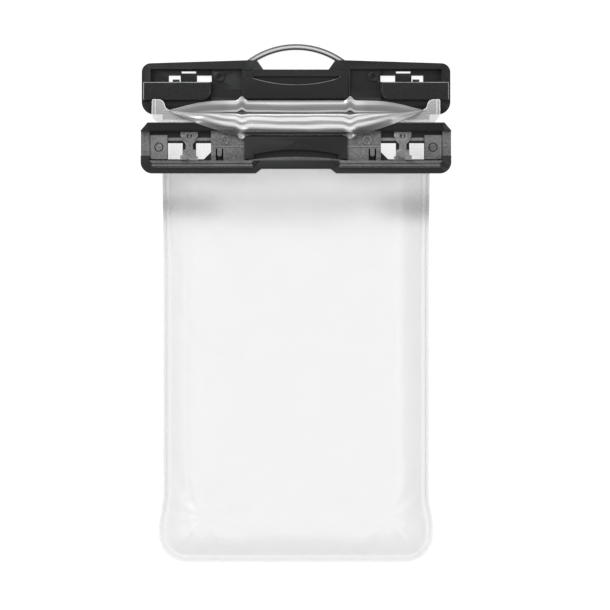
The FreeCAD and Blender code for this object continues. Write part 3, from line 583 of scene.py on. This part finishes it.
# The pouch
def half_width(v):
    """Half width of the pouch at a distance v from its mouth: nearly straight, flared at its low corners."""
    straight = blend_of(POUCH_SIDE_HALF, POUCH_LOW_HALF, smooth(*LOW_FLARE, v))
    straight += (POUCH_TOP_HALF - POUCH_SIDE_HALF) * smooth(*TOP_FLARE, v)
    into = v - (POUCH_LENGTH - POUCH_ROUND)
    if into <= 0:
        return straight
    return straight - POUCH_ROUND + math.sqrt(max(0.0, POUCH_ROUND ** 2 - into ** 2))


def edge_distance(x, v):
    """How far a point of the pouch lies inside its edge."""
    corner_v = POUCH_LENGTH - POUCH_ROUND
    corner_x = POUCH_LOW_HALF - POUCH_ROUND
    if v > corner_v and abs(x) > corner_x:
        return POUCH_ROUND - math.hypot(abs(x) - corner_x, v - corner_v)
    return min(half_width(min(v, corner_v)) - abs(x), POUCH_LENGTH - v)


def puckers(x, v, inside):
    """Small creases that run in from the weld and fan out at the bottom corners."""
    small_height, fan_height, fan_waves = 0.16, 0.42, 9
    corner_v = POUCH_LENGTH - POUCH_ROUND * 1.6
    corner_x = POUCH_LOW_HALF - POUCH_ROUND * 1.6
    reach = math.exp(-max(0.0, inside - WELD) / 6.0) * smooth(WELD, WELD + 1.5, inside)
    along = v if POUCH_LOW_HALF - abs(x) < POUCH_LENGTH - v else x
    uneven = wobble(along * 0.09, 3.1 if x > 0 else 7.7, 0.0)
    small = small_height * reach * math.sin(along * 0.75 + 5 * uneven) * (0.5 + uneven)
    dx = abs(x) - corner_x
    dv = v - corner_v
    fan = smooth(34.0, 6.0, math.hypot(dx, dv)) * smooth(WELD, WELD + 3.0, inside)
    angle = math.atan2(dv, dx)
    return small + fan_height * fan * math.sin(fan_waves * angle + 2.5 * wobble(x * 0.05, v * 0.05, 1.3))


def front_height(x, v):
    """Height of the front sheet's middle: flat on the weld, then soft and full, with sags and creases."""
    full_inside, dip = 14.0, 0.55
    inside = edge_distance(x, v)
    border = FILM * 1.5 + 0.1
    if inside <= WELD:
        return border + 0.18 * bell(inside, WELD * 0.82, 0.28)
    rise = min(1.0, (inside - WELD) / full_inside)
    soft_rise = rise * rise / (rise + 0.07) * 1.07
    fullness = 1 - (1 - min(1.0, soft_rise)) ** 2.2
    top = POUCH_DEPTH - FILM
    sag = 0.5 * wobble(x * 0.022, v * 0.016, 0.4) + 0.35 * wobble(x * 0.06, v * 0.02, 2.0)
    pull = 0.32 * math.sin(x * 0.33 + 2 * wobble(x * 0.05, 0.0, 5.0)) * smooth(70.0, 20.0, v)
    height = blend_of(border, top - dip, fullness) + (sag + pull - 0.1) * smooth(0.3, 1.6, rise)
    return min(top, height + puckers(x, v, inside))


def back_height(x, v):
    """Height of the back sheet's middle: on the floor, hardly uneven."""
    return FILM / 2 + 0.02 + 0.03 * (1 + wobble(x * 0.05, v * 0.05, 9.0))


def pouch_rows(height_of):
    """Rows of points down a sheet of the pouch, closer together along its edges and low end."""
    low_end = 24.0
    lengths = spaced(POUCH_START, 30.0, 22) + spaced(31.5, POUCH_LENGTH - low_end, 84) + [
        POUCH_LENGTH - low_end * (1 - part) ** 1.35 for part in spaced(0.025, 1.0, 40)]
    rows = []
    for v in lengths:
        wide = half_width(v)
        row = []
        for part in edge_spaced(97):
            x = part * wide
            row.append((x, SPINE_Y - v, height_of(x, v)))
        rows.append(row)
    return rows


def front_haze_and_shade(point):
    """Milky along the weld; darker in a band below the clamp, a painted shadow and reflection of it; clearer
    under the clamp and clearest where its open windows lie on it, painted light in its shadow; two painted
    darker lines along the edges near it.
    """
    x, y, _ = point
    v = SPINE_Y - y
    inside = edge_distance(x, v)
    weld = 0.02 * (1.0 - smooth(WELD - 0.5, WELD + 0.2, inside)) + 0.09 * bell(inside, 1.25, 0.3)
    weld *= blend_of(2.2, 0.6, smooth(150.0, 170.0, v))
    uneven = wobble(x * 0.05, v * 0.08, 4.0)
    below_clamp = smooth(15.5, 21.0, v)
    # Clearest under the open clamp's windows: painted light in the clamp's shadow
    window_light = (1.0 - smooth(8.5, 15.5, v)) * smooth(24.0, 30.0, abs(x))
    outer = 0.35 + 0.65 * smooth(26.0, 44.0, abs(x))
    # A painted shadow and reflection of the clamp, in a band below it
    shadow_band_v = 34.2 + 2.5 * uneven
    shadow_band = 0.66 * outer * bell(v, shadow_band_v, 4.4 if v < shadow_band_v else 6.8)
    clamp_shade = (0.22 * smooth(46.0, 24.0, v) + shadow_band) * below_clamp * (0.85 + 0.4 * uneven)
    # Two painted darker lines along the edges, near the clamp
    edge_shade_lines = (0.16 * bell(inside, 0.9, 0.5) + 0.14 * bell(inside, 3.1, 0.5)) * smooth(62.0, 30.0, v)
    return weld + clamp_shade + edge_shade_lines - 0.15 * (1.0 - below_clamp) - 0.65 * window_light


def back_haze(point):
    """Clear all over, because the front sheet carries the milkiness of both."""
    return -0.8


front_sheet = sheet_mesh("pouch_front_sheet", pouch_rows(front_height), FILM_CLEAR, front_haze_and_shade)
back_sheet = sheet_mesh("pouch_back_sheet", pouch_rows(back_height), FILM_CLEAR, back_haze)


# The lips of the mouth
def soft_max(first, second, width):
    return (first + second + math.sqrt((first - second) ** 2 + width ** 2)) / 2


def resampled(path, steps):
    """The same path as points at equal distances."""
    lengths = [0.0]
    for (a, b), (c, d) in zip(path, path[1:]):
        lengths.append(lengths[-1] + math.hypot(c - a, d - b))
    points = []
    segment = 0
    for number in range(steps + 1):
        goal = lengths[-1] * number / steps
        while segment < len(path) - 2 and lengths[segment + 1] < goal:
            segment += 1
        part = (goal - lengths[segment]) / max(1e-9, lengths[segment + 1] - lengths[segment])
        points.append(tuple(blend_of(p, q, part) for p, q in zip(path[segment], path[segment + 1])))
    return points


def lip_profile(x, steps):
    """The front film's fold at one x: from the mouth round its bend, then over the front half's seal edge."""
    bend_steps, flat_steps, flat_length = 32, 60, 9.0
    base_z = 10.62
    away = abs(x)
    near_ear = smooth(*EAR_EASE, away)
    start_y = -0.3 + 2.3 * near_ear
    deep = blend_of(2.3, 1.1, near_ear)
    tall = blend_of(2.95, 0.1, smooth(36.0, LIP_HALF, away))
    valley = bell(away, VALLEY_X, 1.8)
    end_y = soft_max(-7.2, -7.2 + (away - 26.0) * 0.352, 1.2) + 0.08 * max(0.0, away - 41.0) ** 1.3
    end_y = min(end_y, start_y + 0.8 * deep)
    end_y -= 1.7 * valley
    tuck = 1 - smooth(19.5, 23.0, away)
    path = []
    for number in range(bend_steps + 1):
        turn = math.pi * number / bend_steps
        path.append((start_y + deep * math.sin(turn), base_z + tall * (1 - math.cos(turn))))
    for number in range(1, flat_steps + 1):
        y = start_y - flat_length * number / flat_steps
        drop = 1.6 * tuck * smooth(-5.0, -7.6, y)
        ridge = 0.14 * math.sin((y - start_y - 0.1) * 2 * math.pi / 2.8) * (1 - smooth(26.0, 46.0, away))
        ridge *= smooth(start_y, start_y - 1.2, y)
        path.append((y, base_z + 2 * tall - drop + ridge - 0.6 * valley * smooth(-2.0, -8.0, y)))
    kept = [path[0]]
    for number, (y, z) in enumerate(path[1:], 1):
        if number > bend_steps // 2 and y < end_y:
            last_y, last_z = kept[-1]
            part = min(1.0, max(0.0, (last_y - end_y) / max(1e-9, last_y - y)))
            kept.append((blend_of(last_y, y, part), blend_of(last_z, z, part)))
            break
        kept.append((y, z))
    return resampled(kept, steps)


def back_lip_profile(x, steps):
    """The back film's lip at one x: up from the mouth and over the back half's seal edge to the back bar."""
    rise_steps, flat_steps = 24, 48
    low_z, flat_z = 0.55, 5.25
    away = abs(x)
    start_y = 1.6 + 1.5 * smooth(*EAR_EASE, away)
    end_y = -soft_max(-7.4, -7.4 + (away - 37.0) * 0.27, 1.2) + 1.8 * bell(away, VALLEY_X, 1.3)
    tuck = 1 - smooth(18.5, 20.6, away)
    path = []
    for number in range(rise_steps):
        part = number / rise_steps
        path.append((start_y * part, blend_of(low_z, flat_z, math.sin(part * math.pi / 2))))
    for number in range(flat_steps + 1):
        y = blend_of(start_y, max(start_y + 0.4, end_y), number / flat_steps)
        path.append((y, flat_z - 0.9 * tuck * smooth(6.2, 7.6, y)))
    return resampled(path, steps)


def lip_rows(profile, steps):
    """Rows of points along a lip, from the profiles at many places along it."""
    columns = 241
    places = [LIP_HALF * part for part in spaced(-1, 1, columns)]
    profiles = [profile(x, steps) for x in places]
    return [
        [(x, SPINE_Y + points[i][0], points[i][1]) for x, points in zip(places, profiles)]
        for i in range(steps + 1)]


# Painted bands of reflection and shade across each lip, from the mouth to its free edge, and their strength
# from its ends to its middle
FRONT_REFLECTION_BANDS = [
    (0.0, 0.2), (0.245, 0.06), (0.39, 0.10), (0.425, 0.7), (0.445, 0.55), (0.48, 0.3), (0.515, 0.75),
    (0.565, 0.8), (0.60, 0.35), (0.63, 0.28), (0.66, 0.4), (0.70, 0.8), (0.745, 0.7), (0.79, 0.25),
    (0.83, 0.08), (0.95, 0.05), (1.0, 0.05),
]
FRONT_REFLECTION_SIDES = [(0.0, 0.5), (0.08, 0.7), (0.2, 0.85), (0.3, 1.0), (0.5, 1.0)]
BACK_REFLECTION_BANDS = [
    (0.0, 0.06), (0.46, 0.05), (0.53, 0.08), (0.57, 0.7), (0.6, 0.75), (0.64, 0.3), (0.75, 0.3),
    (0.82, 0.42), (0.87, 0.85), (0.97, 0.8), (1.0, 0.6),
]
BACK_REFLECTION_SIDES = [(0.0, 0.4), (0.12, 0.5), (0.22, 0.7), (0.27, 0.9), (0.31, 0.8), (0.36, 0.85), (0.5, 0.8)]
front_lip = sheet_mesh(
    "front_mouth_fold", lip_rows(lip_profile, 44), painted_reflection_film("front_fold_painted_reflections", FRONT_REFLECTION_BANDS, FRONT_REFLECTION_SIDES))
back_lip = sheet_mesh(
    "back_mouth_lip", lip_rows(back_lip_profile, 36), painted_reflection_film("back_lip_painted_reflections", BACK_REFLECTION_BANDS, BACK_REFLECTION_SIDES))

# The ear tabs
EAR_Z = 10.74
EAR_THICKNESS = 0.26
EAR_SEAM = (56.15, 56.45)     # out from the middle
EAR_OUTLINE = [               # out from the middle, up from the mouth
    (38.6, -2.95), (41.0, -2.2), (55.2, -1.95), (56.6, -0.9), (57.5, 0.9), (57.7, 2.4), (57.6, 7.1),
    (57.2, 7.6), (54.4, 7.5), (53.1, 6.8), (52.5, 5.6), (52.3, 4.7), (51.9, 4.0), (50.4, 3.1),
    (47.4, 1.7), (44.0, 0.1), (41.0, -1.4),
]


def ear(side, name):
    """A rounded tab of welded film with a raised edge and a seam, at one end of the mouth."""
    rim_width, rim_step, facing_up = 0.3, -0.08, 0.9
    work = bmesh.new()
    corners = [work.verts.new(Vector((side * x, SPINE_Y + y, EAR_Z)) * MM) for x, y in EAR_OUTLINE]
    base = work.faces.new(corners)
    base.normal_update()
    if base.normal.z < 0:
        base.normal_flip()
    lifted = bmesh.ops.extrude_face_region(work, geom=work.faces[:])
    upper = [item for item in lifted["geom"] if isinstance(item, bmesh.types.BMVert)]
    bmesh.ops.translate(work, verts=upper, vec=(0, 0, EAR_THICKNESS * MM))
    bmesh.ops.recalc_face_normals(work, faces=work.faces)
    tops = [face for face in work.faces if face.normal.z > facing_up]
    rim = bmesh.ops.inset_region(
        work, faces=tops, thickness=rim_width * MM, depth=rim_step * MM, use_even_offset=True)
    for face in rim["faces"]:
        face.material_index = 1
    for along in EAR_SEAM:
        bmesh.ops.bisect_plane(
            work, geom=work.verts[:] + work.edges[:] + work.faces[:],
            plane_co=(side * along * MM, 0, 0), plane_no=(1, 0, 0))
    for face in work.faces:
        centre = face.calc_center_median() / MM
        on_seam = EAR_SEAM[0] < abs(centre.x) < EAR_SEAM[1]
        if on_seam and face.normal.z > facing_up and centre.y > SPINE_Y + 1.0:
            face.material_index = 1
    return object_from(name, work, [FILM_EAR, FILM_RIM])


for side, name in ((-1, "left"), (1, "right")):
    tab = ear(side, f"{name}_ear_tab")
    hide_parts(f"{name}_ear_film")
    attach(tab, "back_half")

for piece, cad in ((front_sheet, "pouch_front_film"), (back_sheet, "pouch_back_film")):
    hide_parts(cad)
    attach(piece, "back_half")
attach(back_lip, "back_half")
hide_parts("front_lip_film")
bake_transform(front_lip)


# Floor, lights and camera
def camera_share(tree):
    """1 for what the camera sees, also by way of gloss and glass."""
    path = node(tree, "ShaderNodeLightPath")
    first = node(tree, "ShaderNodeMath", operation="MAXIMUM")
    link(tree, path.outputs["Is Camera Ray"], first.inputs[0])
    link(tree, path.outputs["Is Glossy Ray"], first.inputs[1])
    second = node(tree, "ShaderNodeMath", operation="MAXIMUM")
    link(tree, first.outputs[0], second.inputs[0])
    link(tree, path.outputs["Is Transmission Ray"], second.inputs[1])
    return second.outputs[0]


def make_floor():
    """A pale floor that looks white to the camera, and keeps a faint shadow."""
    shade, shine, half_size, drop = 0.18, 0.89, 6.0, 0.0002
    made, tree, output = new_material("pale_floor")
    base = node(tree, "ShaderNodeBsdfDiffuse")
    base.inputs["Color"].default_value = (*grey(shade), 1)
    glow = node(tree, "ShaderNodeEmission")
    strength = node(tree, "ShaderNodeMath", operation="MULTIPLY")
    strength.inputs[1].default_value = shine
    link(tree, camera_share(tree), strength.inputs[0])
    link(tree, strength.outputs[0], glow.inputs["Strength"])
    add = node(tree, "ShaderNodeAddShader")
    link(tree, base.outputs["BSDF"], add.inputs[0])
    link(tree, glow.outputs["Emission"], add.inputs[1])
    link(tree, add.outputs["Shader"], output.inputs["Surface"])
    mesh = bpy.data.meshes.new("floor")
    corners = [(x * half_size, y * half_size, 0) for x, y in ((-1, -1), (1, -1), (1, 1), (-1, 1))]
    mesh.from_pydata(corners, [], [(0, 1, 2, 3)])
    mesh.materials.append(made)
    floor = add_object("floor", mesh)
    floor.location.z = -drop


def make_world():
    """A soft studio sky for light and reflections, white where the camera sees it."""
    sky = [(0.0, 0.75), (0.02, 0.10), (0.3, 0.12), (0.6, 0.45), (0.85, 0.8), (1.0, 0.62)]
    world = bpy.data.worlds.new("studio")
    bpy.context.scene.world = world
    world.use_nodes = True
    tree = world.node_tree
    tree.nodes.clear()
    output = node(tree, "ShaderNodeOutputWorld")
    soft = node(tree, "ShaderNodeBackground")
    place = node(tree, "ShaderNodeTexCoord")
    split = node(tree, "ShaderNodeSeparateXYZ")
    link(tree, place.outputs["Generated"], split.inputs["Vector"])
    link(tree, grey_ramp(tree, split.outputs["Z"], sky), soft.inputs["Color"])
    white = node(tree, "ShaderNodeBackground")
    path = node(tree, "ShaderNodeLightPath")
    mix = mix_shaders(tree, soft.outputs["Background"], white.outputs["Background"])
    link(tree, path.outputs["Is Camera Ray"], mix.inputs[FACTOR])
    link(tree, mix.outputs["Shader"], output.inputs["Surface"])


LIGHTS = [      # name, place, target and size in metres, power in watts
    ("key", (-0.55, 0.55, 0.9), (0, 0, 0), (0.7, 0.5), 10.0),
    ("fill", (0.75, 0.1, 0.85), (0, 0, 0), (0.6, 0.6), 5.0),
    ("low", (0.1, -0.85, 0.75), (0, 0, 0), (0.9, 0.4), 4.0),
    ("back_strip_light", (-0.1, 1.1, 0.22), (0, 0.08, 0), (1.6, 0.16), 4.0),
    ("side_strip_light", (-1.1, 0.05, 0.24), (0, 0, 0), (0.9, 0.14), 2.5),
]


def soft_light(name, place, target, size, energy):
    lamp = bpy.data.lights.new(name, "AREA")
    lamp.shape = "RECTANGLE"
    lamp.size, lamp.size_y = size
    lamp.energy = energy
    item = add_object(name, lamp)
    item.location = place
    item.rotation_euler = (Vector(target) - Vector(place)).to_track_quat("-Z", "Y").to_euler()


def make_camera():
    """Straight above the case, with a long lens, framed as the photograph is."""
    centre = Vector((3.6, -0.7, 10.0)) * MM
    lens, sensor, across = 250.0, 36.0, 0.244
    data = bpy.data.cameras.new("camera")
    data.lens = lens
    data.sensor_width = sensor
    item = add_object("camera", data)
    item.location = centre + Vector((0, 0, across * lens / sensor))
    bpy.context.scene.camera = item


make_floor()
make_world()
for light in LIGHTS:
    soft_light(*light)
make_camera()
bpy.context.scene.view_settings.view_transform = "Standard"
